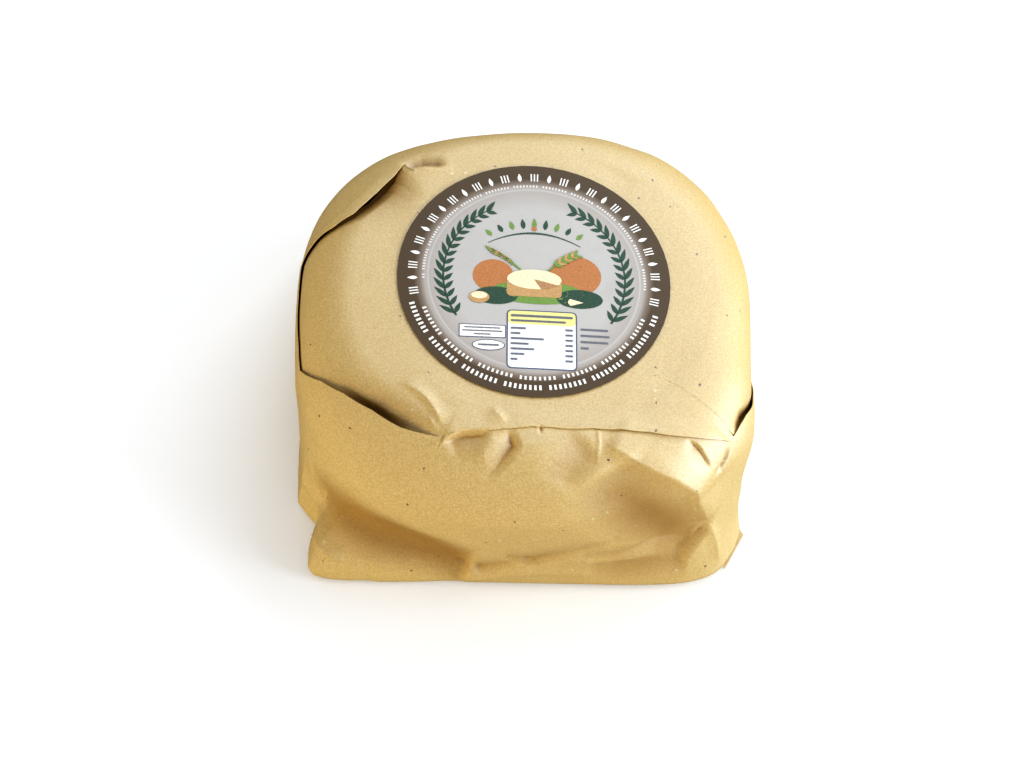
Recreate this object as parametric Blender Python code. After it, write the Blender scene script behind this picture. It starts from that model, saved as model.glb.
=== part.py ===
"""Small wheel of cheese shut in plain straw paper, lying flat, with one round paper label on top.

The paper is drawn tight over a round wheel and tucked under a squarer foot. A top sheet comes over from the
back and ends in a straight cut edge at the front; the side sheets lap it at the left and the right.
Nodes: paper_wrap, the shut pack as one body, and label, the thin disc on the top face.
Metres, +Z up, front towards -Y, origin in the middle of the underside of the whole box.
"""

import math

import bmesh
import bpy
import numpy as np

# Wheel and paper, driving dimensions
TOP_HEIGHT = 0.0750       # middle of the top face above the table
TOP_TILT = 4.0            # degrees, the top face falls towards +X
TOP_CROWN = 0.0015        # rise of the top face at its middle
TOP_RADIUS = 0.0620       # reach of the flat part of the top face
SHOULDER_HEIGHT = 0.0500  # where the rounded shoulder meets the side wall
SHOULDER_BOW = 0.95       # 1 is an ellipse, less is fuller
FRONT_SLOPE = 0.35        # added to the bow at the front, where the paper hangs straighter
FRONT_MIDDLE = -98.0      # degrees, middle of that straighter stretch
FRONT_FULL = 20.0         # degrees to each side over which it is full
FRONT_END = 55.0          # degrees to each side at which it ends
DRUM = {"left": 0.0820, "right": 0.0826, "front": 0.0820, "back": 0.0765, "power": 2.6}
FOOT = {"left": 0.0820, "right": 0.0810, "front": 0.0800, "back": 0.0780, "power": 8.0}
DRUM_TAPER = 0.035        # share of the radius that the wheel loses towards the table
TENT_HEIGHT = 0.0500      # below this the paper leaves the round wheel for the squarer foot
FOOT_ROUND = 0.0040       # rounding where the paper turns under
TABLE_BLEND = 0.0060      # folds fade out over this height, so the underside stays flat
CORNER_FULL = 0.35        # share of a folded corner's height up to which it stands out in full

# Where the wheel is out of round: middle and half width in degrees, distance outwards
DRUM_SWELLS = [
    (68.0, 30.0, 0.0022),
    (118.0, 28.0, -0.0018),
    (-34.0, 26.0, 0.0040),
]

# Folded corners of the foot: middle and half width in degrees, distance outwards, height at which it ends
FOOT_CORNERS = [
    (-141.5, 7.0, -0.0070, 0.040),
    (-133.0, 9.0, 0.0045, 0.018),
    (-122.0, 14.0, 0.0020, 0.030),
    (-28.0, 9.0, -0.0045, 0.050),
    (-36.0, 5.0, 0.0025, 0.018),
    (43.0, 7.0, 0.0025, 0.018),
    (52.0, 6.0, -0.0040, 0.040),
    (136.0, 7.0, 0.0025, 0.018),
    (146.0, 6.0, -0.0050, 0.040),
]

# Rim of the top sheet: degrees round the pack, distance from the middle of the top measured over the paper,
# rise of the side sheet outside the rim, rise of the top sheet inside it
RIM = [
    (-166.0, 0.0887, 0.0012, -0.0008),
    (-159.5, 0.0894, 0.0010, -0.0008),
    (-146.5, 0.0818, 0.0012, -0.0020),
    (-137.5, 0.0766, 0.0012, -0.0030),
    (-127.0, 0.0732, 0.0010, -0.0016),
    (-111.0, 0.0669, 0.0000, 0.0000),
    (-103.0, 0.0616, 0.0000, 0.0008),
    (-93.5, 0.0577, 0.0000, 0.0009),
    (-76.5, 0.0571, 0.0000, 0.0009),
    (-63.5, 0.0618, 0.0000, 0.0009),
    (-51.5, 0.0719, 0.0000, 0.0009),
    (-41.0, 0.0845, 0.0000, 0.0008),
    (-33.0, 0.0986, 0.0003, 0.0000),
    (-20.0, 0.0988, 0.0012, -0.0012),
    (20.0, 0.0970, 0.0012, -0.0006),
    (37.5, 0.0830, 0.0012, -0.0006),
    (51.5, 0.0845, 0.0000, 0.0010),
    (60.0, 0.0860, 0.0000, 0.0000),
    (120.0, 0.0720, 0.0000, 0.0000),
    (132.0, 0.0680, 0.0006, -0.0006),
    (144.5, 0.0670, 0.0018, -0.0030),
    (155.5, 0.0694, 0.0018, -0.0024),
    (162.0, 0.0821, 0.0015, -0.0010),
    (166.5, 0.0949, 0.0012, -0.0008),
]
RIM_REACH = 0.0130        # how far from the rim a raised or sunk strip fades out
RIM_FADE_POWER = 1.5
RIM_FADE_RATE = 2.0
RIM_STEP = 0.0005         # half width of the step from one sheet to the other

# Folds of the paper: landmarks (degrees, distance over the paper), rise at each, half width
FOLDS = {
    "ridge_right": ([(-65.0, 0.0640), (-55.0, 0.0797), (-46.5, 0.0974), (-46.0, 0.1193), (-51.0, 0.1330)],
                    [0.0004, 0.0016, 0.0028, 0.0022, 0.0004], 0.0130),
    "hollow_right": ([(-66.0, 0.0840), (-57.0, 0.1010), (-56.0, 0.1180)],
                     [-0.0010, -0.0024, -0.0020], 0.0200),
    "groove_left": ([(-142.0, 0.1160), (-134.0, 0.1240), (-118.0, 0.1260), (-94.0, 0.1290)],
                    [-0.0012, -0.0040, -0.0038, -0.0024], 0.0140),
    "groove_right": ([(-94.0, 0.1270), (-87.0, 0.1250), (-70.0, 0.1220), (-52.0, 0.1270)],
                     [-0.0004, -0.0020, -0.0024, -0.0010], 0.0140),
    "lip": ([(-134.0, 0.1380), (-118.0, 0.1370), (-94.0, 0.1400), (-70.0, 0.1360)],
            [0.0014, 0.0014, 0.0012, 0.0004], 0.0080),
    "corner_left": ([(-153.0, 0.1400), (-140.0, 0.1350), (-129.0, 0.1420)],
                    [0.0010, 0.0022, 0.0010], 0.0070),
    "pinch": ([(-121.0, 0.0780), (-105.0, 0.0650), (-96.0, 0.0640)],
              [-0.0002, -0.0013, -0.0004], 0.0070),
    "crease_front": ([(-93.0, 0.0600), (-92.0, 0.0660), (-97.0, 0.0780)],
                     [-0.0004, -0.0010, -0.0002], 0.0060),
    "crease_corner": ([(-45.0, 0.0780), (-43.5, 0.0910), (-45.0, 0.1000)],
                      [-0.0004, -0.0012, -0.0006], 0.0060),
    "puff_back_left": ([(140.0, 0.0760), (155.0, 0.0820)],
                       [0.0016, 0.0016], 0.0180),
    "dent_back_left": ([(131.0, 0.0700), (120.0, 0.0600)],
                       [-0.0016, -0.0004], 0.0080),
    "puff_back_right": ([(40.0, 0.0880), (54.0, 0.0900)],
                        [0.0008, 0.0008], 0.0140),
    "tuck_back_left": ([(130.0, 0.0760), (122.0, 0.1100), (126.0, 0.1400)],
                       [-0.0006, -0.0016, -0.0006], 0.0080),
    "tuck_back_right": ([(54.0, 0.0900), (62.0, 0.1150), (58.0, 0.1420)],
                        [-0.0006, -0.0016, -0.0006], 0.0080),
    "crease_right": ([(-24.0, 0.1080), (-12.0, 0.1250), (-16.0, 0.1400)],
                     [-0.0004, -0.0014, -0.0006], 0.0090),
    "crease_left": ([(176.0, 0.1050), (-176.0, 0.1250), (178.0, 0.1400)],
                    [-0.0003, -0.0012, -0.0005], 0.0090),
}
FOLD_SHARPNESS = 1.6      # above 1 the fold line is crisp and its sides run out softly

# Label
LABEL_CENTRE = (0.0035, 0.0040)
LABEL_RADIUS = 0.0485
LABEL_THICKNESS = 0.0003
LABEL_GAP = 0.0003        # between the label and the paper below it
LABEL_CLEAR = 0.0485      # the paper stays smooth within this distance of the label's middle
LABEL_BLEND = 0.0080      # folds come up to their full rise over this distance

# Fineness of the mesh
FINE_SPACING = 3.0        # degrees between columns at the front and at the left
COARSE_SPACING = 5.0      # degrees between columns at the right and the back
COARSE_FROM = -15.0
COARSE_TO = 125.0
TOP_ROWS = [0.16, 0.34, 0.50, 0.64, 0.75, 0.84, 0.91, 0.96]
WALL_ROWS = [0.025, 0.07, 0.13, 0.20, 0.28, 0.36, 0.44, 0.52, 0.60, 0.68, 0.76, 0.84, 0.92, 1.0]
ROUND_ROWS = 3
PROFILE_STEPS = 60
ROUND_STEPS = 8
SHARP_ANGLE = 40.0        # degrees between faces from which their shared edge is drawn sharp
LABEL_COLUMNS = 60
LABEL_ROWS = [0.25, 0.50, 0.75, 1.0]


def smooth_step(low, high, value):
    t = np.clip((value - low) / (high - low), 0.0, 1.0)
    return t * t * (3.0 - 2.0 * t)


def degrees_apart(theta, middle):
    turn = theta - math.radians(middle)
    return np.abs(np.degrees((turn + math.pi) % (2.0 * math.pi) - math.pi))


def outline(theta, sides):
    """Rounded square seen from above, with its own half width on each side."""
    c = np.cos(theta)
    s = np.sin(theta)
    along_x = np.where(c < 0.0, sides["left"], sides["right"])
    along_y = np.where(s < 0.0, sides["front"], sides["back"])
    power = sides["power"]
    return (np.abs(c / along_x) ** power + np.abs(s / along_y) ** power) ** (-1.0 / power)


def top_height(x, y):
    fall = math.tan(math.radians(TOP_TILT))
    return TOP_HEIGHT + TOP_CROWN * (1.0 - (x * x + y * y) / TOP_RADIUS ** 2) - fall * x


def wall_radius(theta, z):
    drum = outline(theta, DRUM)
    for middle, half, out in DRUM_SWELLS:
        drum = drum + out * smooth_step(half, 0.0, degrees_apart(theta, middle))
    drum = drum * (1.0 - DRUM_TAPER * np.clip(1.0 - z / SHOULDER_HEIGHT, 0.0, 1.0) ** 2)
    tent = np.clip(1.0 - z / TENT_HEIGHT, 0.0, 1.0)
    radius = drum * (1.0 - tent) + outline(theta, FOOT) * tent
    for middle, half, out, end in FOOT_CORNERS:
        corner = np.clip(1.0 - degrees_apart(theta, middle) / half, 0.0, 1.0)
        radius = radius + out * corner * smooth_step(1.0, CORNER_FULL, z / end)
    return radius


def profile(theta):
    """Radius, height and length over the paper from the middle of the top to the table, one row per angle."""
    theta = np.atleast_1d(theta)[:, None]
    c = np.cos(theta)
    s = np.sin(theta)
    t = np.linspace(0.0, 1.0, PROFILE_STEPS)[None]
    top_r = t * TOP_RADIUS + 0.0 * c
    top_z = top_height(top_r * c, top_r * s)
    bow = SHOULDER_BOW + FRONT_SLOPE * smooth_step(FRONT_END, FRONT_FULL, degrees_apart(theta, FRONT_MIDDLE))
    u = 0.5 * math.pi * t[:, 1:]
    reach = wall_radius(theta, SHOULDER_HEIGHT) - TOP_RADIUS
    shoulder_r = TOP_RADIUS + reach * np.sin(u) ** bow
    shoulder_z = SHOULDER_HEIGHT + (top_z[:, -1:] - SHOULDER_HEIGHT) * np.cos(u) ** bow
    wall_z = SHOULDER_HEIGHT + (FOOT_ROUND - SHOULDER_HEIGHT) * t[:, 1:] + 0.0 * c
    wall_r = wall_radius(theta, wall_z)
    turn = 0.5 * math.pi * np.linspace(0.0, 1.0, ROUND_STEPS + 1)[None, 1:]
    foot_r = wall_r[:, -1:] - FOOT_ROUND * (1.0 - np.cos(turn))
    foot_z = FOOT_ROUND * (1.0 - np.sin(turn)) + 0.0 * c
    radius = np.concatenate([top_r, shoulder_r, wall_r, foot_r], 1)
    height = np.concatenate([top_z, shoulder_z, wall_z, foot_z], 1)
    step = np.hypot(np.diff(radius, axis=1), np.diff(height, axis=1))
    length = np.concatenate([np.zeros((len(radius), 1)), np.cumsum(step, 1)], 1)
    return radius, height, length


def wall_length(theta):
    """Length over the paper to the start of the rounding at the foot, and to the table."""
    radius, height, length = profile(theta)
    return length[:, -1 - ROUND_STEPS], length[:, -1]


def on_form(theta, rho):
    """Points of the form without folds, for columns of angles and rows of lengths over the paper."""
    radius, height, length = profile(theta)
    r = np.stack([np.interp(rho[i], length[i], radius[i]) for i in range(len(rho))])
    z = np.stack([np.interp(rho[i], length[i], height[i]) for i in range(len(rho))])
    angle = np.asarray(theta)[:, None]
    return np.stack([r * np.cos(angle), r * np.sin(angle), z], -1)


def form_normals(theta, rho):
    turn = 0.01
    slide = 0.0006
    ahead = on_form(theta + turn, rho) - on_form(theta - turn, rho)
    down = on_form(theta, rho + slide) - on_form(theta, np.maximum(rho - slide, 0.0))
    normal = np.cross(down, ahead)
    size = np.linalg.norm(normal, axis=-1, keepdims=True)
    flat = np.array([0.0, 0.0, 1.0])
    return np.where(size > 1e-12, normal / np.maximum(size, 1e-12), flat)


def rim_value(theta, column):
    """One column of RIM at any angle round the pack."""
    table = sorted(RIM)
    angles = [row[0] for row in table]
    values = [row[column] for row in table]
    angles = [angles[-1] - 360.0] + angles + [angles[0] + 360.0]
    values = [values[-1]] + values + [values[0]]
    return np.interp(np.degrees((theta + math.pi) % (2.0 * math.pi) - math.pi), angles, values)


def fold_rise(theta, rho, landmarks, rises, half_width):
    """Rise of one fold: full on its line, fading with the distance from it over the paper."""
    x = rho * np.cos(theta)
    y = rho * np.sin(theta)
    line = [(r * math.cos(math.radians(a)), r * math.sin(math.radians(a))) for a, r in landmarks]
    best = np.full(x.shape, np.inf)
    rise = np.zeros(x.shape)
    for (ax, ay), (bx, by), low, high in zip(line, line[1:], rises, rises[1:]):
        dx = bx - ax
        dy = by - ay
        share = np.clip(((x - ax) * dx + (y - ay) * dy) / (dx * dx + dy * dy), 0.0, 1.0)
        away = np.hypot(x - ax - share * dx, y - ay - share * dy)
        rise = np.where(away < best, low + (high - low) * share, rise)
        best = np.minimum(best, away)
    return rise * np.clip(1.0 - best / half_width, 0.0, 1.0) ** FOLD_SHARPNESS


def relief(theta, rho, points):
    """Rise of the paper over the form: laps along the rim, folds, and nothing below the label or at the table."""
    angle = np.asarray(theta)[:, None] + 0.0 * rho
    rim = rim_value(angle, 1)
    outside = rho > rim
    fade = np.exp(-RIM_FADE_RATE * (np.abs(rho - rim) / RIM_REACH) ** RIM_FADE_POWER)
    rise = np.where(outside, rim_value(angle, 2), rim_value(angle, 3)) * fade
    for landmarks, rises, half_width in FOLDS.values():
        rise = rise + fold_rise(angle, rho, landmarks, rises, half_width)
    from_label = np.hypot(points[..., 0] - LABEL_CENTRE[0], points[..., 1] - LABEL_CENTRE[1])
    beside_label = smooth_step(LABEL_CLEAR, LABEL_CLEAR + LABEL_BLEND, from_label)
    rise = rise * np.where(points[..., 2] > SHOULDER_HEIGHT, beside_label, 1.0)
    return rise * smooth_step(0.0, TABLE_BLEND, points[..., 2])


def on_paper(theta, rho):
    points = on_form(theta, rho)
    return points + form_normals(theta, rho) * relief(theta, rho, points)[..., None]


def column_angles():
    """Angles of the columns, once round the pack."""
    coarse = np.arange(COARSE_FROM, COARSE_TO, COARSE_SPACING)
    fine = np.arange(COARSE_TO, COARSE_FROM + 360.0, FINE_SPACING)
    return np.radians(np.concatenate([coarse, fine]))


def new_object(name, mesh_data, colour, roughness):
    mesh = bpy.data.meshes.new(name)
    mesh_data.to_mesh(mesh)
    mesh_data.free()
    material = bpy.data.materials.new(name + "_material")
    material.use_nodes = True
    shader = material.node_tree.nodes["Principled BSDF"]
    shader.inputs["Base Color"].default_value = colour
    shader.inputs["Roughness"].default_value = roughness
    mesh.materials.append(material)
    mesh.shade_smooth()
    mesh.set_sharp_from_angle(angle=math.radians(SHARP_ANGLE))
    thing = bpy.data.objects.new(name, mesh)
    bpy.context.collection.objects.link(thing)
    return thing


def ring_faces(mesh_data, inner, outer):
    """Triangles between two rings of as many points, split along the shorter diagonal."""
    count = len(inner)
    for i in range(count):
        a = inner[i]
        b = inner[(i + 1) % count]
        c = outer[(i + 1) % count]
        d = outer[i]
        if (a.co - c.co).length < (b.co - d.co).length:
            mesh_data.faces.new((a, d, c))
            mesh_data.faces.new((a, c, b))
        else:
            mesh_data.faces.new((a, d, b))
            mesh_data.faces.new((b, d, c))


def build_wrap():
    theta = column_angles()
    rim = rim_value(theta, 1)[:, None]
    foot, table = wall_length(theta)
    foot = foot[:, None]
    table = table[:, None]
    inside = rim - RIM_STEP
    outside = rim + RIM_STEP
    rows = [inside * share for share in TOP_ROWS] + [inside, outside]
    rows += [outside + (foot - outside) * share for share in WALL_ROWS]
    rows += [foot + (table - foot) * (i + 1) / ROUND_ROWS for i in range(ROUND_ROWS)]
    rho = np.concatenate(rows, 1)
    points = on_paper(theta, rho)
    points[:, -1, 2] = 0.0
    mesh_data = bmesh.new()
    middle = mesh_data.verts.new((0.0, 0.0, float(top_height(0.0, 0.0))))
    rings = [[mesh_data.verts.new(p) for p in points[:, row]] for row in range(points.shape[1])]
    count = len(theta)
    for i in range(count):
        mesh_data.faces.new((middle, rings[0][i], rings[0][(i + 1) % count]))
    for inner, outer in zip(rings, rings[1:]):
        ring_faces(mesh_data, inner, outer)
    mesh_data.faces.new(list(reversed(rings[-1])))
    return new_object("paper_wrap", mesh_data, (0.62, 0.42, 0.17, 1.0), 0.75)


def build_label():
    angles = np.linspace(-math.pi, math.pi, LABEL_COLUMNS, endpoint=False)
    mesh_data = bmesh.new()

    def sheet(lift):
        cx, cy = LABEL_CENTRE
        centre = mesh_data.verts.new((cx, cy, float(top_height(cx, cy)) + lift))
        rings = []
        for share in LABEL_ROWS:
            x = cx + LABEL_RADIUS * share * np.cos(angles)
            y = cy + LABEL_RADIUS * share * np.sin(angles)
            z = top_height(x, y) + lift
            rings.append([mesh_data.verts.new(p) for p in zip(x, y, z)])
        return centre, rings

    under_centre, under = sheet(LABEL_GAP)
    upper_centre, upper = sheet(LABEL_GAP + LABEL_THICKNESS)
    for i in range(LABEL_COLUMNS):
        j = (i + 1) % LABEL_COLUMNS
        mesh_data.faces.new((upper_centre, upper[0][i], upper[0][j]))
        mesh_data.faces.new((under_centre, under[0][j], under[0][i]))
    for inner, outer in zip(upper, upper[1:]):
        ring_faces(mesh_data, inner, outer)
    for inner, outer in zip(under, under[1:]):
        ring_faces(mesh_data, outer, inner)
    ring_faces(mesh_data, upper[-1], under[-1])
    return new_object("label", mesh_data, (0.55, 0.50, 0.42, 1.0), 0.5)


def centre_on_origin(things):
    """Moves every mesh by one step, so that the whole box has its middle over the origin and rests on z = 0."""
    corners = np.array([v.co[:] for thing in things for v in thing.data.vertices])
    low = corners.min(0)
    high = corners.max(0)
    shift = (-(low[0] + high[0]) / 2.0, -(low[1] + high[1]) / 2.0, -low[2])
    for thing in things:
        for vertex in thing.data.vertices:
            vertex.co.x += shift[0]
            vertex.co.y += shift[1]
            vertex.co.z += shift[2]
    print("moved by", [round(s, 6) for s in shift], "box", [round(float(s), 5) for s in high - low])


def main():
    for thing in list(bpy.data.objects):
        bpy.data.objects.remove(thing, do_unlink=True)
    centre_on_origin([build_wrap(), build_label()])


main()
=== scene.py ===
"""Looks of a small cheese wheel shut in plain straw paper, with a round printed label on its top face.

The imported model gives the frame. The paper is made again here as sheets that lap each other with real slits,
finer folds and paper edges; the label keeps its solid and gets its print. Metres, +Z up, front towards -Y.
"""

import math

import bmesh
import bpy
import numpy as np
from mathutils import Matrix, Vector, noise


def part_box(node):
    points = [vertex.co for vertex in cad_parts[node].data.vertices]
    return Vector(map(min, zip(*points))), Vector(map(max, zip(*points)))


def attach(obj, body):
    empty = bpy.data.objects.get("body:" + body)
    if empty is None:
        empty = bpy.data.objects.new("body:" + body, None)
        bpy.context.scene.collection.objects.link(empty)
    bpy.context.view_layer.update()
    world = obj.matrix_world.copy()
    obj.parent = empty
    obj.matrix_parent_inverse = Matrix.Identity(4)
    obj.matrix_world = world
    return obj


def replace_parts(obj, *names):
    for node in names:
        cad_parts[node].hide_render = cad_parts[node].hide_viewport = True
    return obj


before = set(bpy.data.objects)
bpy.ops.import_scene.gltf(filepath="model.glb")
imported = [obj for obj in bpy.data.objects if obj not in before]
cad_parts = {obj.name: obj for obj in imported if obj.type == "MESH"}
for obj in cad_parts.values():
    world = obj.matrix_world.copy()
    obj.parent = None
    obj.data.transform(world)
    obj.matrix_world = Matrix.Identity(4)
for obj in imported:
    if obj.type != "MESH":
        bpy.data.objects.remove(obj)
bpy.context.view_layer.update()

# Wheel and paper, the same driving dimensions as the solid
TOP_HEIGHT = 0.075
TOP_TILT = 4.0
TOP_CROWN = 0.0015
TOP_RADIUS = 0.062
SHOULDER_HEIGHT = 0.05
SHOULDER_BOW = 0.95
FRONT_SLOPE = 0.35
FRONT_MIDDLE = -98.0
FRONT_FULL = 20.0
FRONT_END = 55.0
DRUM = {"left": 0.082, "right": 0.0826, "front": 0.082, "back": 0.0765, "power": 2.6}
FOOT = {"left": 0.082, "right": 0.081, "front": 0.08, "back": 0.078, "power": 8.0}
DRUM_TAPER = 0.035
TENT_HEIGHT = 0.05
FOOT_ROUND = 0.004
TABLE_BLEND = 0.006
CORNER_FULL = 0.35
DRUM_SWELLS = [
    (68.0, 30.0, 0.0022),
    (118.0, 28.0, -0.0018),
    (-34.0, 26.0, 0.004),
]
FOOT_CORNERS = [
    (-141.5, 7.0, -0.007, 0.04),
    (-133.0, 9.0, 0.0045, 0.018),
    (-122.0, 14.0, 0.002, 0.03),
    (-28.0, 9.0, -0.0045, 0.05),
    (-36.0, 5.0, 0.0025, 0.018),
    (43.0, 7.0, 0.0025, 0.018),
    (52.0, 6.0, -0.004, 0.04),
    (136.0, 7.0, 0.0025, 0.018),
    (146.0, 6.0, -0.005, 0.04),
]

# Rim of the top sheet: degrees, distance over the paper, rise of the side sheet, rise of the top sheet,
# and how far the sheet below drops away under the lap
RIM = [
    (-166.8, 0.0887, 0.0006, -0.0004, 0.0008),
    (-160.0, 0.0905, 0.0007, -0.0004, 0.0008),
    (-151.5, 0.0812, 0.0008, -0.0008, 0.0012),
    (-144.3, 0.0764, 0.001, -0.002, 0.003),
    (-135.1, 0.0727, 0.001, -0.0034, 0.0045),
    (-125.9, 0.071, 0.0009, -0.0028, 0.004),
    (-118.7, 0.0685, 0.0004, -0.0008, 0.0016),
    (-114.1, 0.067, 0.0, 0.0, 0.0012),
    (-112.9, 0.0649, 0.0, 0.0004, 0.0008),
    (-107.1, 0.0615, 0.0, 0.0005, 0.0006),
    (-95.8, 0.0575, 0.0, 0.0005, 0.0006),
    (-86.1, 0.0559, 0.0, 0.0005, 0.0006),
    (-79.5, 0.0566, 0.0, 0.0005, 0.0006),
    (-65.7, 0.0604, 0.0, 0.0006, 0.0006),
    (-58.1, 0.0647, 0.0, 0.0008, 0.0008),
    (-50.9, 0.0708, 0.0, 0.0009, 0.001),
    (-43.0, 0.0805, 0.0, 0.0011, 0.0012),
    (-39.7, 0.0852, 0.0, 0.0012, 0.0012),
    (-36.6, 0.0897, 0.0, 0.001, 0.001),
    (-35.1, 0.0929, 0.0, 0.0003, 0.0006),
    (-33.5, 0.0925, 0.0003, 0.0, 0.001),
    (-30.0, 0.0916, 0.001, -0.0008, 0.0025),
    (-27.0, 0.0918, 0.0011, -0.001, 0.0025),
    (-23.2, 0.0937, 0.001, -0.0008, 0.002),
    (-19.5, 0.0945, 0.0005, -0.0004, 0.0008),
    (-12.0, 0.1, 0.0003, -0.0003, 0.0004),
    (0.0, 0.104, 0.0003, -0.0003, 0.0004),
    (20.0, 0.106, 0.0003, -0.0003, 0.0004),
    (37.5, 0.103, 0.0003, -0.0003, 0.0004),
    (48.0, 0.098, 0.0003, -0.0003, 0.0004),
    (60.0, 0.092, 0.0, 0.0, 0.0),
    (120.0, 0.072, 0.0, 0.0, 0.0),
    (130.5, 0.0682, 0.0, 0.0, 0.0),
    (132.6, 0.0669, 0.0006, -0.0006, 0.003),
    (137.0, 0.0652, 0.001, -0.003, 0.006),
    (141.0, 0.0648, 0.0012, -0.0036, 0.0065),
    (145.5, 0.0648, 0.0011, -0.0028, 0.006),
    (150.4, 0.0656, 0.001, -0.0018, 0.0045),
    (155.9, 0.0672, 0.0008, -0.001, 0.003),
    (162.0, 0.0724, 0.001, -0.0006, 0.002),
    (166.0, 0.081, 0.0009, -0.0006, 0.001),
    (169.0, 0.09, 0.0007, -0.0005, 0.0008),
    (179.3, 0.0892, 0.0006, -0.0004, 0.0008),
]
RIM_PATH, RIM_SIDE, RIM_TOP, RIM_DROP = 1, 2, 3, 4
RIM_REACH = 0.011

# Open slits, where the sheet below falls away steeply at the rim: start and end in degrees, depth, reach
SLITS = [
    (-148.0, -123.0, 0.0032, 0.0026),
    (134.0, 166.0, 0.0018, 0.0034),
    (-33.0, -20.0, 0.001, 0.0026),
]
RIM_FADE_POWER = 1.5
RIM_FADE_RATE = 2.0

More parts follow.
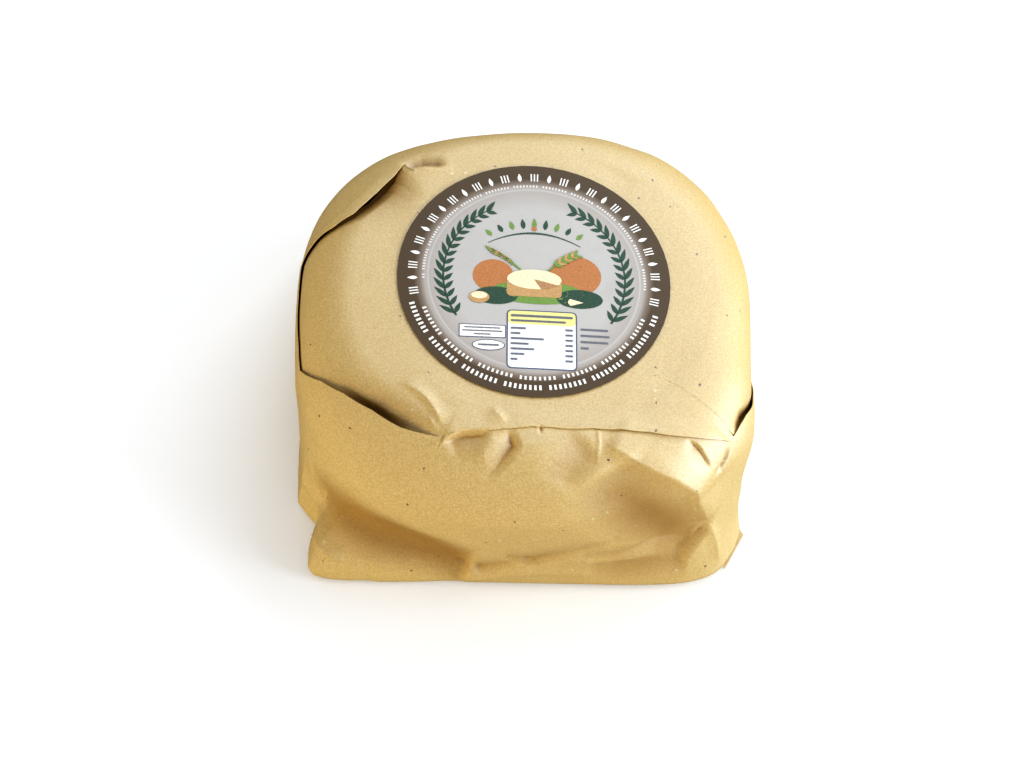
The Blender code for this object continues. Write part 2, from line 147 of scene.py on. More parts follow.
# Folds: landmarks (degrees, distance over the paper), rise at each, width to the left and to the right of the
# line as it runs. A narrow width gives a step, a wide one a facet.
FOLDS = {
    "ridge_right": (
        [(-64.4, 0.0664), (-61.8, 0.0706), (-58.2, 0.077), (-54.6, 0.0836), (-51.0, 0.0906), (-47.7, 0.0985),
         (-47.6, 0.105), (-46.1, 0.1164), (-44.8, 0.1235)],
        [0.0012, 0.002, 0.0024, 0.0027, 0.003, 0.0032, 0.003, 0.0024, 0.001], 0.016, 0.006),
    "hollow_right": (
        [(-67.0, 0.0745), (-65.0, 0.087), (-59.5, 0.104), (-53.5, 0.1185), (-48.0, 0.132)],
        [-0.0012, -0.0034, -0.0044, -0.0042, -0.0022], 0.02, 0.023),
    "hollow_low": (
        [(-48.5, 0.129), (-56.0, 0.124), (-66.0, 0.123), (-76.0, 0.122)],
        [-0.0018, -0.0021, -0.0014, -0.0004], 0.009, 0.014),
    "hollow_foot": (
        [(-50.5, 0.136), (-57.0, 0.134), (-65.0, 0.133), (-73.0, 0.131)],
        [-0.0012, -0.0022, -0.0018, -0.0004], 0.013, 0.012),
    "edge_right": (
        [(-44.8, 0.124), (-44.3, 0.133), (-44.4, 0.142), (-44.2, 0.148)],
        [0.0008, 0.0012, 0.001, 0.0002], 0.005, 0.006),
    "pinch_right": (
        [(-54.7, 0.1338), (-51.5, 0.1319), (-48.5, 0.129), (-44.9, 0.1246)],
        [-0.0003, -0.001, -0.0018, -0.003], 0.004, 0.003),
    "groove_left": (
        [(-143.0, 0.133), (-137.0, 0.127), (-131.0, 0.125), (-125.0, 0.1255), (-118.0, 0.127),
         (-111.3, 0.1295), (-105.4, 0.133), (-101.5, 0.136)],
        [-0.0018, -0.0042, -0.0055, -0.006, -0.006, -0.0054, -0.0046, -0.003], 0.022, 0.0185),
    "groove_left_tail": (
        [(-101.5, 0.1362), (-96.0, 0.132), (-90.0, 0.1262)], [-0.003, -0.002, -0.0008], 0.013, 0.005),
    "groove_right": (
        [(-94.3, 0.1242), (-87.5, 0.1253), (-85.5, 0.1247), (-79.3, 0.1195), (-72.2, 0.1159),
         (-64.2, 0.1148)],
        [-0.001, -0.002, -0.0022, -0.0014, -0.001, -0.0004], 0.013, 0.006),
    "lip": (
        [(-112.0, 0.1425), (-100.0, 0.1405), (-86.0, 0.134), (-70.0, 0.137)],
        [0.0002, 0.0008, 0.0008, 0.0004], 0.004, 0.006),
    "hem_line": (
        [(-79.2, 0.1246), (-69.6, 0.1274), (-58.9, 0.1302), (-54.3, 0.1348)],
        [0.0002, 0.0007, 0.0007, 0.0002], 0.003, 0.004),
    "foot_pinch": ([(-106.0, 0.135), (-101.1, 0.1368)], [-0.0008, -0.0026], 0.0022, 0.0018),
    "foot_point": ([(-100.4, 0.1375), (-98.6, 0.1392)], [0.001, 0.0002], 0.002, 0.002),
    "foot_tick": ([(-90.0, 0.125), (-86.0, 0.1247)], [-0.0004, -0.0022], 0.002, 0.0018),
    "foot_tick_point": ([(-85.3, 0.1254), (-84.0, 0.1275)], [0.001, 0.0002], 0.002, 0.002),
    "ear_left": (
        [(-139.0, 0.1475), (-134.5, 0.1423), (-131.0, 0.1431), (-129.0, 0.1426), (-127.7, 0.1399)],
        [0.0014, 0.002, 0.0018, 0.0012, 0.0], 0.008, 0.0012),
    "corner_left": (
        [(-147.6, 0.1366), (-141.0, 0.141), (-134.0, 0.1385)], [0.001, 0.0016, 0.0006], 0.006, 0.006),
    "lip_fold": (
        [(-118.0, 0.0736), (-116.0, 0.0713), (-114.3, 0.0693), (-112.4, 0.0665), (-110.6, 0.0642),
         (-108.4, 0.0628)],
        [0.0001, 0.0003, 0.0005, 0.0007, 0.0008, 0.0002], 0.0034, 0.0022),
    "lip_shade": (
        [(-113.4, 0.0692), (-111.0, 0.0664), (-108.9, 0.064), (-105.6, 0.0619), (-102.2, 0.0607),
         (-98.6, 0.0596)],
        [-0.0006, -0.0016, -0.0024, -0.0026, -0.0018, -0.0006], 0.002, 0.012),
    "lip_tail": (
        [(-110.5, 0.068), (-108.8, 0.0695), (-107.1, 0.0718)], [-0.0004, -0.0004, -0.0001], 0.005, 0.005),
    "crease_front": (
        [(-95.0, 0.057), (-94.0, 0.0588), (-92.8, 0.0612), (-92.1, 0.063), (-93.4, 0.0657), (-94.9, 0.0687),
         (-96.6, 0.0722), (-98.2, 0.075), (-100.2, 0.0785)],
        [-0.0008, -0.0022, -0.0027, -0.0029, -0.0026, -0.002, -0.0012, -0.0006, -0.0001], 0.0034, 0.0085),
    "facet_front": (
        [(-101.0, 0.065), (-100.6, 0.068), (-99.8, 0.0712)], [0.0005, 0.0008, 0.0003], 0.006, 0.006),
    "tick_front": ([(-83.1, 0.0565), (-83.3, 0.0582)], [-0.001, -0.0003], 0.0012, 0.0012),
    "shade_middle": (
        [(-66.9, 0.066), (-71.8, 0.0683), (-76.6, 0.0732), (-80.0, 0.08)],
        [-0.0006, -0.0013, -0.0011, -0.0003], 0.009, 0.013),
    "upright_line": (
        [(-64.4, 0.062), (-65.8, 0.066), (-68.3, 0.0724)], [0.0003, 0.0004, 0.0001], 0.0014, 0.0014),
    "corner_crease": (
        [(-44.1, 0.08), (-43.2, 0.0832), (-42.8, 0.0859), (-42.9, 0.0889), (-42.9, 0.0921), (-43.0, 0.0957)],
        [-0.001, -0.0015, -0.0015, -0.0013, -0.0011, -0.0006], 0.0014, 0.0064),
    "corner_line": (
        [(-35.6, 0.0925), (-36.4, 0.0945), (-38.0, 0.0968), (-40.2, 0.0984), (-41.6, 0.0983),
         (-43.4, 0.0992)],
        [-0.0005, -0.001, -0.0014, -0.0018, -0.0014, -0.0004], 0.0012, 0.0022),
    "bright_crease": (
        [(-136.5, 0.0592), (-132.5, 0.0577), (-129.2, 0.0572), (-124.8, 0.0576), (-121.0, 0.0591),
         (-117.4, 0.0613), (-114.7, 0.0639)],
        [0.0002, 0.0005, 0.0008, 0.001, 0.001, 0.0009, 0.0002], 0.005, 0.0026),
    "short_crease": ([(-120.9, 0.0623), (-115.8, 0.066)], [0.0005, 0.0005], 0.0016, 0.003),
    "label_facet": (
        [(-102.7, 0.05), (-98.3, 0.0526), (-94.9, 0.0563)], [0.0004, 0.0007, 0.0004], 0.003, 0.008),
    "apex_dent": (
        [(133.0, 0.0665), (130.5, 0.0658), (126.5, 0.064), (122.5, 0.0608), (119.0, 0.0586)],
        [-0.0006, -0.002, -0.0023, -0.0018, -0.0004], 0.0056, 0.0024),
    "apex_ridge": ([(131.0, 0.064), (127.0, 0.061), (121.0, 0.057)], [0.0002, 0.0006, 0.0002], 0.004, 0.004),
    "curl_back_left": (
        [(136.5, 0.069), (145.0, 0.069), (154.0, 0.0705), (161.0, 0.076), (165.0, 0.085)],
        [0.0001, 0.0004, 0.0005, 0.0004, 0.0001], 0.012, 0.0045),
    "swell_right": ([(-27.0, 0.115), (-30.0, 0.132)], [0.003, 0.0036], 0.026, 0.026),
    "puff_back_right": ([(40.0, 0.088), (54.0, 0.09)], [0.0008, 0.0008], 0.014, 0.014),
    "tuck_back_left": (
        [(131.0, 0.149), (128.5, 0.129), (124.5, 0.108), (121.0, 0.093)],
        [-0.0004, -0.002, -0.0014, -0.0002], 0.003, 0.013),
    "tuck_back_right": (
        [(49.0, 0.149), (52.0, 0.129), (57.0, 0.108), (61.0, 0.093)],
        [-0.0004, -0.002, -0.0014, -0.0002], 0.013, 0.003),
    "crease_back": (
        [(103.0, 0.09), (100.5, 0.108), (97.0, 0.127), (95.5, 0.143)],
        [-0.0001, -0.001, -0.0011, -0.0003], 0.003, 0.01),
    "wrinkle_back_high": (
        [(76.0, 0.088), (82.0, 0.098), (89.0, 0.106), (94.0, 0.117)],
        [0.0001, 0.0008, 0.0009, 0.0002], 0.007, 0.0022),
    "wrinkle_back_low": (
        [(114.0, 0.118), (107.0, 0.124), (99.5, 0.128)], [-0.0001, -0.001, -0.0003], 0.0022, 0.008),
    "crease_right": (
        [(-15.0, 0.107), (-10.0, 0.12), (-7.5, 0.136)], [-0.0003, -0.0011, -0.0004], 0.004, 0.012),
    "crease_right_top": (
        [(6.0, 0.109), (14.0, 0.117), (25.0, 0.123)], [0.0001, 0.0009, 0.0002], 0.008, 0.0024),
    "wrinkle_right_low": (
        [(8.0, 0.139), (20.0, 0.133), (33.0, 0.133)], [-0.0002, -0.001, -0.0003], 0.0024, 0.008),
    "crease_left": (
        [(171.0, 0.101), (176.5, 0.117), (-179.0, 0.137)], [-0.0003, -0.0011, -0.0004], 0.004, 0.012),
    "wrinkle_left": (
        [(-172.0, 0.106), (-166.0, 0.115), (-162.0, 0.128)], [0.0001, 0.0009, 0.0002], 0.0024, 0.008),
}
FOLD_SHARPNESS = 1.9
ROUND_FOLDS = {"groove_left", "hollow_right", "hollow_foot", "swell_right", "shade_middle", "puff_back_right"}
FOLD_TAPER = 0.005
FOLD_TAPER_SHARE = 0.35

# Loose ripple of the paper: wavelength, rise
RIPPLES = [(0.034, 0.0006), (0.012, 0.00014)]

# Label
LABEL_CENTRE = (0.0035, 0.004)
LABEL_RADIUS = 0.0485
LABEL_TOP = 0.0006
LABEL_CLEAR = 0.0485
LABEL_BLEND = 0.008
ART_TURN = 1.0

# Sheets
LAP = 0.009
SLIT_MOST = 0.0034
# Painted shade: the fold depth and the lap drop at which the paper's colour is darkened fully
PAINTED_SHADE_START = 0.0022
PAINTED_SHADE_SHARE = 0.45
PAINTED_SHADE_LAP = 0.005
LAP_SLOPE = 0.0004
LAP_CLEAR_REACH = 0.005
PAPER_THICKNESS = 0.00028
COLUMN_STEPS = [
    (-170.0, -152.0, 0.5),
    (-152.0, -34.0, 0.3),
    (-34.0, -20.0, 0.5),
    (-20.0, 50.0, 1.0),
    (50.0, 118.0, 1.1),
    (118.0, 146.0, 0.4),
    (146.0, 190.0, 0.6),
]
TOP_INNER_ROWS = 7
TOP_OUTER_ROWS = 64
TOP_INNER_SHARE = 0.62
SIDE_ROWS = 122
SIDE_ROW_SHARES = ([0.0, 0.44, 0.62, 1.0], [0.0, 0.3, 0.58, 1.0])
ROUND_ROWS = 5
PROFILE_STEPS = 60
ROUND_STEPS = 8
UNDERSIDE_RISE = 0.0012
HEM_ROWS = 4
TOP_HEM_PAD, SIDE_HEM_PAD = (((0, 0), (0, 2)), ((0, 0), (2, 0)))
WELD = 0.000001
SHARP_ANGLE = 55.0

# Folded paper of two sheets: the ear at the front right corner, and the flaps that close the pack below,
# each with its corners and its height
FLAP_THICKNESS = 0.00045
EAR_STEPS = 10
EAR_BULGE = 0.0008
EAR_CURL = 1.5
EAR_CORNERS = [(0.0745, -0.0535, 0.0165), (0.0822, -0.06, 0.007), (0.0755, -0.071, 0.0008),
               (0.069, -0.063, 0.006)]
FLAPS = {
    "underside_front": [(-0.06, -0.07), (0.06, -0.07), (0.03, 0.016), (-0.034, 0.012), 0.0009],
    "underside_right": [(0.07, -0.056), (0.07, 0.058), (0.004, 0.01), (0.006, -0.006), 0.00065],
    "underside_left": [(-0.07, 0.058), (-0.07, -0.054), (-0.012, -0.01), (-0.01, 0.008), 0.00065],
    "underside_back": [(0.058, 0.068), (-0.06, 0.068), (-0.026, -0.02), (0.03, -0.014), 0.00035],
}

# Straw paper: colours of its grain, finish, and relief as strength and distance
STRAW_DARK = (0.535, 0.345, 0.076)
STRAW_LIGHT = (0.665, 0.464, 0.15)
STRAW_FLECK = (0.15, 0.078, 0.008)
STRAW_PALE = (0.7, 0.58, 0.3)
# Painted shade: tint that darkens the paper in folds and under laps
STRAW_PAINTED_SHADE = (0.66, 0.5, 0.08)
STRAW_STOPS = (0.42, 0.58)
STRAW_ROUGHNESS = 0.6
STRAW_IOR = 2.1
STRAW_BUMP = (0.25, 0.0003)

# Flecks: output, shift of the cells that carry them, and share of the cells that stay empty
FLECKS = [("Flecks", 0.0, 0.66), ("Pale Flecks", 3.7, 0.82)]
RAGGED_SCALE = 1100.0
RAGGED_PULL = 0.0014

# Label paper and inks
RING_BROWN = (0.11, 0.076, 0.046)
RING_EDGE = (0.24, 0.19, 0.15)
FIELD_SHADE = (0.41, 0.37, 0.335)
FIELD_PALE = (0.475, 0.452, 0.425)
FIELD_CLOUD = (0.435, 0.41, 0.385)
LABEL_ROUGHNESS = 0.5
LABEL_SPECULAR = 0.3
LABEL_BUMP = (0.08, 0.0002)
INK_LAYER = 0.00005
INK_STOPS = (0.38, 0.62)
INK_DARKER = 0.86
INK_LIGHTER = 1.12
INK_LIFT = 0.01
INK_COLOURS = {
    "pale": (0.78, 0.75, 0.71),
    "soft": (0.66, 0.62, 0.58),
    "dark_green": (0.045, 0.095, 0.062),
    "leaf_green": (0.19, 0.3, 0.075),
    "rust": (0.46, 0.2, 0.075),
    "tan": (0.5, 0.31, 0.14),
    "cream": (0.78, 0.66, 0.45),
    "shade": (0.42, 0.24, 0.12),
    "white": (0.76, 0.78, 0.8),
    "yellow": (0.72, 0.68, 0.28),
    "line": (0.13, 0.14, 0.2),
    "bar": (0.17, 0.17, 0.19),
}
LEAF_FULLNESS = 0.8
LEAF_END = 0.001

# Camera, as the photograph was taken
CAMERA_ELEVATION = 59.5
CAMERA_ROLL = 1.5
CAMERA_LENS = 100.0
CAMERA_DISTANCE = 1.032
CAMERA_TARGET = (-0.00347, -0.01432, 0.037)
SENSOR_WIDTH = 36.0
EXPOSURE = -0.06

# Daylight from the back and right, a slightly warmer room at the left. Each light has its place, size, power,
# colour, and whether glossy rays see it.
COOL_LIGHT = (0.91, 1.01, 1.12)
WARM_LIGHT = (1.03, 1.0, 0.94)
LIGHT_AIM = (0.0, 0.0, 0.05)
LIGHTS = {
    "key_back_right": ((0.4, 0.76, 0.78), (0.8, 0.7), 4.9, COOL_LIGHT, True),
    "side_right": ((1.08, -0.18, 0.37), (0.7, 0.7), 10.4, COOL_LIGHT, True),
    "fill_left_front": ((-0.78, -0.92, 0.3), (1.0, 0.5), 8.2, WARM_LIGHT, False),
}
WORLD_STRENGTH = 0.58
FLOOR_HALF = 3.0
FLOOR_TONE = (0.86, 0.86, 0.86, 1.0)
FLOOR_ROUGHNESS = 0.3

label_low, label_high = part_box("label")
SHIFT = (
    (label_low.x + label_high.x) / 2.0 - LABEL_CENTRE[0],
    (label_low.y + label_high.y) / 2.0 - LABEL_CENTRE[1],
    0.0,
)


# Form of the pack

def smooth_step(low, high, value):
    t = np.clip((value - low) / (high - low), 0.0, 1.0)
    return t * t * (3.0 - 2.0 * t)


def degrees_apart(theta, middle):
    turn = theta - math.radians(middle)
    return np.abs(np.degrees((turn + math.pi) % (2.0 * math.pi) - math.pi))


def outline(theta, sides):
    c = np.cos(theta)
    s = np.sin(theta)
    along_x = np.where(c < 0.0, sides["left"], sides["right"])
    along_y = np.where(s < 0.0, sides["front"], sides["back"])
    power = sides["power"]
    return (np.abs(c / along_x) ** power + np.abs(s / along_y) ** power) ** (-1.0 / power)


def top_height(x, y):
    fall = math.tan(math.radians(TOP_TILT))
    return TOP_HEIGHT + TOP_CROWN * (1.0 - (x * x + y * y) / TOP_RADIUS ** 2) - fall * x


def wall_radius(theta, z):
    drum = outline(theta, DRUM)
    for middle, half, out in DRUM_SWELLS:
        drum = drum + out * smooth_step(half, 0.0, degrees_apart(theta, middle))
    drum = drum * (1.0 - DRUM_TAPER * np.clip(1.0 - z / SHOULDER_HEIGHT, 0.0, 1.0) ** 2)
    tent = np.clip(1.0 - z / TENT_HEIGHT, 0.0, 1.0)
    radius = drum * (1.0 - tent) + outline(theta, FOOT) * tent
    for middle, half, out, end in FOOT_CORNERS:
        corner = np.clip(1.0 - degrees_apart(theta, middle) / half, 0.0, 1.0)
        radius = radius + out * corner * smooth_step(1.0, CORNER_FULL, z / end)
    return radius


def profile(theta):
    """Radius, height and length over the paper from the middle of the top to the table, one row per angle."""
    theta = np.atleast_1d(theta)[:, None]
    c = np.cos(theta)
    s = np.sin(theta)
    t = np.linspace(0.0, 1.0, PROFILE_STEPS)[None]
    top_r = t * TOP_RADIUS + 0.0 * c
    top_z = top_height(top_r * c, top_r * s)
    bow = SHOULDER_BOW + FRONT_SLOPE * smooth_step(FRONT_END, FRONT_FULL, degrees_apart(theta, FRONT_MIDDLE))
    u = 0.5 * math.pi * t[:, 1:]
    reach = wall_radius(theta, SHOULDER_HEIGHT) - TOP_RADIUS
    shoulder_r = TOP_RADIUS + reach * np.sin(u) ** bow
    shoulder_z = SHOULDER_HEIGHT + (top_z[:, -1:] - SHOULDER_HEIGHT) * np.cos(u) ** bow
    wall_z = SHOULDER_HEIGHT + (FOOT_ROUND - SHOULDER_HEIGHT) * t[:, 1:] + 0.0 * c
    wall_r = wall_radius(theta, wall_z)
    turn = 0.5 * math.pi * np.linspace(0.0, 1.0, ROUND_STEPS + 1)[None, 1:]
    foot_r = wall_r[:, -1:] - FOOT_ROUND * (1.0 - np.cos(turn))
    foot_z = FOOT_ROUND * (1.0 - np.sin(turn)) + 0.0 * c
    radius = np.concatenate([top_r, shoulder_r, wall_r, foot_r], 1)
    height = np.concatenate([top_z, shoulder_z, wall_z, foot_z], 1)
    step = np.hypot(np.diff(radius, axis=1), np.diff(height, axis=1))
    length = np.concatenate([np.zeros((len(radius), 1)), np.cumsum(step, 1)], 1)
    return radius, height, length


def on_form(theta, rho):
    radius, height, length = profile(theta)
    r = np.stack([np.interp(rho[i], length[i], radius[i]) for i in range(len(rho))])
    z = np.stack([np.interp(rho[i], length[i], height[i]) for i in range(len(rho))])
    angle = np.asarray(theta)[:, None]
    return np.stack([r * np.cos(angle), r * np.sin(angle), z], -1)


def form_normals(theta, rho):
    turn = 0.01
    slide = 0.0006
    ahead = on_form(theta + turn, rho) - on_form(theta - turn, rho)
    down = on_form(theta, rho + slide) - on_form(theta, np.maximum(rho - slide, 0.0))
    normal = np.cross(down, ahead)
    size = np.linalg.norm(normal, axis=-1, keepdims=True)
    flat = np.array([0.0, 0.0, 1.0])
    return np.where(size > 1e-12, normal / np.maximum(size, 1e-12), flat)


def rim_value(theta, column):
    table = sorted(RIM)
    angles = [row[0] for row in table]
    values = [row[column] for row in table]
    angles = [angles[-1] - 360.0] + angles + [angles[0] + 360.0]
    values = [values[-1]] + values + [values[0]]
    return np.interp(np.degrees((theta + math.pi) % (2.0 * math.pi) - math.pi), angles, values)


def fold_rise(theta, rho, landmarks, rises, left_width, right_width, rounded):
    x = rho * np.cos(theta)
    y = rho * np.sin(theta)
    line = [(r * math.cos(math.radians(a)), r * math.sin(math.radians(a))) for a, r in landmarks]
    best = np.full(x.shape, np.inf)
    rise = np.zeros(x.shape)
    width = np.full(x.shape, left_width)
    run = np.zeros(x.shape)
    steps = [math.dist(p, q) for p, q in zip(line, line[1:])]
    starts = [sum(steps[:i]) for i in range(len(steps))]
    for (ax, ay), (bx, by), low, high, step, start in zip(line, line[1:], rises, rises[1:], steps, starts):
        dx = bx - ax
        dy = by - ay
        share = np.clip(((x - ax) * dx + (y - ay) * dy) / (dx * dx + dy * dy), 0.0, 1.0)
        away = np.hypot(x - ax - share * dx, y - ay - share * dy)
        side = (y - ay) * dx - (x - ax) * dy
        nearer = away < best
        rise = np.where(nearer, low + (high - low) * share, rise)
        width = np.where(nearer, np.where(side > 0.0, left_width, right_width), width)
        run = np.where(nearer, start + step * share, run)
        best = np.minimum(best, away)
    if left_width != right_width:
        taper = min(FOLD_TAPER, FOLD_TAPER_SHARE * sum(steps))
        rise = rise * smooth_step(0.0, taper, run) * smooth_step(0.0, taper, sum(steps) - run)
    near = np.clip(1.0 - best / width, 0.0, 1.0)
    return rise * (smooth_step(0.0, 1.0, near) if rounded else near ** FOLD_SHARPNESS)


def ripple(points):
    """Small random unevenness of the sheet, the same on every run."""
    rise = np.zeros(points.shape[:-1])
    for wavelength, height in RIPPLES:
        for index in np.ndindex(rise.shape):
            rise[index] += height * noise.noise(Vector(points[index] / wavelength))
    return rise


# Sheets

def on_paper(theta, rho, lap):
    """Points of a sheet: the form, its folds and ripple, and the rise that the lap gives it.

    The last value is the painted shade of each point, from 0 to 1: more in deep folds and under laps."""
    points = on_form(theta, rho)
    angle = np.asarray(theta)[:, None] + 0.0 * rho
    rise = ripple(points)
    # Painted shade: darker the deeper a fold goes and the lower the sheet lies under a lap
    painted_shade_amount = 0.0 * rho
    for name, (landmarks, rises, left_width, right_width) in FOLDS.items():
        change = fold_rise(angle, rho, landmarks, rises, left_width, right_width, name in ROUND_FOLDS)
        rise = rise + change
        painted_shade_amount = np.maximum(painted_shade_amount, -change / (PAINTED_SHADE_START + PAINTED_SHADE_SHARE * abs(min(rises))))
    painted_shade_amount = np.maximum(painted_shade_amount, -lap / PAINTED_SHADE_LAP)
    rise = rise + lap
    from_label = np.hypot(points[..., 0] - LABEL_CENTRE[0], points[..., 1] - LABEL_CENTRE[1])
    beside_label = smooth_step(LABEL_CLEAR, LABEL_CLEAR + LABEL_BLEND, from_label)
    rise = rise * np.where(points[..., 2] > SHOULDER_HEIGHT, beside_label, 1.0)
    rise = rise * smooth_step(0.0, TABLE_BLEND, points[..., 2])
    normals = form_normals(theta, rho)
    return points + normals * rise[..., None], normals, np.clip(painted_shade_amount, 0.0, 1.0)


def lap_fade(rho, rim):
    return np.exp(-RIM_FADE_RATE * (np.abs(rho - rim) / RIM_REACH) ** RIM_FADE_POWER)


def slit_depth(theta, before_rim):
    """How far the sheet below falls away beside the open slits; before_rim is the way left to the rim."""
    angle = np.degrees((theta + math.pi) % (2.0 * math.pi) - math.pi)[:, None]
    fall = 0.0
    for start, end, depth, reach in SLITS:
        middle = (start + end) / 2.0
        window = smooth_step((end - start) / 2.0, 0.0, np.abs(angle - middle))
        fall = fall + depth * window * np.clip(1.0 - before_rim / reach, 0.0, 1.0)
    return fall


def sheet_laps(theta):
    """Rim of the top sheet, and how far each sheet runs on below the other."""
    rim = rim_value(theta, RIM_PATH)
    side = rim_value(theta, RIM_SIDE)
    top = rim_value(theta, RIM_TOP)
    top_over = smooth_step(0.0, LAP_SLOPE, top)
    side_over = smooth_step(0.0, LAP_SLOPE, side) * (top < 0.0)
    return rim, LAP * top_over, LAP * side_over


def with_hem(points, normals, free, first):
    """Turns the edge of a sheet: a face as thick as the paper and a strip running back below the sheet.

    Where free is False the paper runs on and the hem shrinks to nothing."""
    near, far = (0, HEM_ROWS) if first else (-1, -1 - HEM_ROWS)
    thick = np.where(free, PAPER_THICKNESS, 0.0)[:, None]
    edge = points[:, near]
    under = edge - normals[:, near] * thick
    back = np.where(free[:, None], points[:, far] - normals[:, near] * thick, edge)
    rows = [back[:, None], under[:, None], points] if first else [points, under[:, None], back[:, None]]
    return np.concatenate(rows, 1)


def new_mesh(name, vertices, faces):
    mesh = bpy.data.meshes.new(name)
    mesh.from_pydata(vertices, [], faces)
    mesh.update()
    return mesh


def smooth(mesh):
    mesh.shade_smooth()
    mesh.set_sharp_from_angle(angle=math.radians(SHARP_ANGLE))


def grid_mesh(name, grid, painted_shade, top_centre=None, foot_centre=None):
    """A mesh from columns of points, closed round the pack; a centre closes its first or its last ring.

    The painted shade of each point is kept on the mesh, to darken the paper's colour there."""
    columns, rows = grid.shape[:2]
    vertices = list(map(tuple, grid.reshape(-1, 3)))
    faces = []
    for i in range(columns):
        j = (i + 1) % columns
        for k in range(rows - 1):
            faces.append((i * rows + k, i * rows + k + 1, j * rows + k + 1, j * rows + k))
    for centre, ring in ((top_centre, 0), (foot_centre, rows - 1)):
        if centre is None:
            continue
        vertices.append(centre)
        middle = len(vertices) - 1
        for i in range(columns):
            j = (i + 1) % columns
            near, far = i * rows + ring, j * rows + ring
            faces.append((middle, near, far) if ring == 0 else (middle, far, near))
    mesh = new_mesh(name, vertices, faces)
    values = np.zeros(len(vertices))
    values[:columns * rows] = painted_shade.reshape(-1)
    mesh.attributes.new("painted_shade", "FLOAT", "POINT").data.foreach_set("value", values)
    return mesh


def add_object(name, data):
    thing = bpy.data.objects.new(name, data)
    bpy.context.scene.collection.objects.link(thing)
    return thing


def place(name, mesh, material):
    mesh.transform(Matrix.Translation(SHIFT))
    mesh.materials.append(material)
    thing = add_object(name, mesh)
    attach(thing, "root")
    return thing


def column_angles():
    angles = [np.arange(start, end, step) for start, end, step in COLUMN_STEPS]
    return np.radians(np.concatenate(angles))


def build_paper(material):
    theta = column_angles()
    rim, side_under, top_under = sheet_laps(theta)
    drop = rim_value(theta, RIM_DROP)[:, None]
    length = profile(theta)[2]
    foot = length[:, -1 - ROUND_STEPS][:, None]
    table = length[:, -1][:, None]

    # Top sheet, from the middle out to its rim or on below the side sheet
    end = (rim + top_under)[:, None]
    inner = np.linspace(0.0, TOP_INNER_SHARE, TOP_INNER_ROWS, endpoint=False)[None, 1:]
    outer = np.linspace(TOP_INNER_SHARE, 1.0, TOP_OUTER_ROWS)[None]
    rho = end * np.concatenate([inner, outer], 1)
    rise = rim_value(theta, RIM_TOP)[:, None] * lap_fade(rho, rim[:, None])
    hidden = smooth_step(0.0, LAP_CLEAR_REACH, rho - rim[:, None])
    slit = slit_depth(theta, rim[:, None] - rho)
    points, normals, top_painted_shade = on_paper(theta, rho, rise - drop * hidden - np.minimum(slit, SLIT_MOST))
    top = with_hem(points, normals, (rim_value(theta, RIM_TOP) > 0.0) | (top_under > 0.0), first=False)

    # Side sheet, from its rim or from below the top sheet down to the table
    start = (rim - side_under)[:, None]
    share = np.interp(np.linspace(0.0, 1.0, SIDE_ROWS), *SIDE_ROW_SHARES)[None]
    wall = start + (foot - start) * share
    rounding = foot + (table - foot) * np.linspace(0.0, 1.0, ROUND_ROWS + 1)[None, 1:]
    rho = np.concatenate([wall, rounding], 1)
    rise = rim_value(theta, RIM_SIDE)[:, None] * lap_fade(rho, rim[:, None])
    hidden = smooth_step(0.0, LAP_CLEAR_REACH, rim[:, None] - rho)
    points, normals, side_painted_shade = on_paper(theta, rho, rise - drop * hidden)
    points[:, -1, 2] = UNDERSIDE_RISE
    side = with_hem(points, normals, (rim_value(theta, RIM_SIDE) > 0.0) | (side_under > 0.0), first=True)

    top_centre = (0.0, 0.0, float(top_height(0.0, 0.0)))
    foot_centre = (0.0, 0.0, UNDERSIDE_RISE)
    top_painted_shade = np.pad(top_painted_shade, TOP_HEM_PAD, "edge")
    side_painted_shade = np.pad(side_painted_shade, SIDE_HEM_PAD, "edge")
    sheets = {
        "paper_top_sheet": grid_mesh("paper_top_sheet", top, top_painted_shade, top_centre=top_centre),
        "paper_side_sheet": grid_mesh("paper_side_sheet", side, side_painted_shade, foot_centre=foot_centre),
    }
    for name, mesh in sheets.items():
        tidy = bmesh.new()
        tidy.from_mesh(mesh)
        bmesh.ops.remove_doubles(tidy, verts=tidy.verts, dist=WELD)
        bmesh.ops.dissolve_degenerate(tidy, edges=tidy.edges, dist=WELD)
        tidy.to_mesh(mesh)
        tidy.free()
        smooth(mesh)
        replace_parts(place(name, mesh, material), "paper_wrap")


def paper_flap(name, corners, bulge, material):
    """Flat or slightly bulged piece of folded paper between four corners, as thick as two sheets."""
    first, second, third, fourth = (np.array(corner) for corner in corners)
    normal = np.cross(second - first, fourth - first)
    normal = normal / np.linalg.norm(normal)
    steps = EAR_STEPS if bulge else 1
    layers = []
    for side in (0.5, -0.5):
        for i in range(steps + 1):
            for j in range(steps + 1):
                a, b = i / steps, j / steps
                point = (1 - a) * (1 - b) * first + a * (1 - b) * second + a * b * third + (1 - a) * b * fourth
                lift = bulge * math.sin(math.pi * a) * math.cos(EAR_CURL * b) + side * FLAP_THICKNESS
                layers.append(tuple(point + normal * lift))
    width = steps + 1
    under = width * width
    faces = []
    for i in range(steps):
        for j in range(steps):
            k = i * width + j
            faces.append((k, k + width, k + width + 1, k + 1))
            faces.append((under + k, under + k + 1, under + k + width + 1, under + k + width))
    rim = [i * width for i in range(steps)] + [steps * width + j for j in range(steps)]
    rim += [i * width + steps for i in range(steps, 0, -1)] + [j for j in range(steps, 0, -1)]
    for k, n in zip(rim, rim[1:] + rim[:1]):
        faces.append((k, under + k, under + n, n))
    mesh = new_mesh(name, layers, faces)
    smooth(mesh)
    return place(name, mesh, material)


def build_flaps(material):
    """The small folded ear at the front right corner, and the folds that close the paper underneath."""
    paper_flap("paper_ear", EAR_CORNERS, EAR_BULGE, material)
    for name, (*corners, height) in FLAPS.items():
        paper_flap(name, [(x, y, height) for x, y in corners], 0.0, material)


# Materials

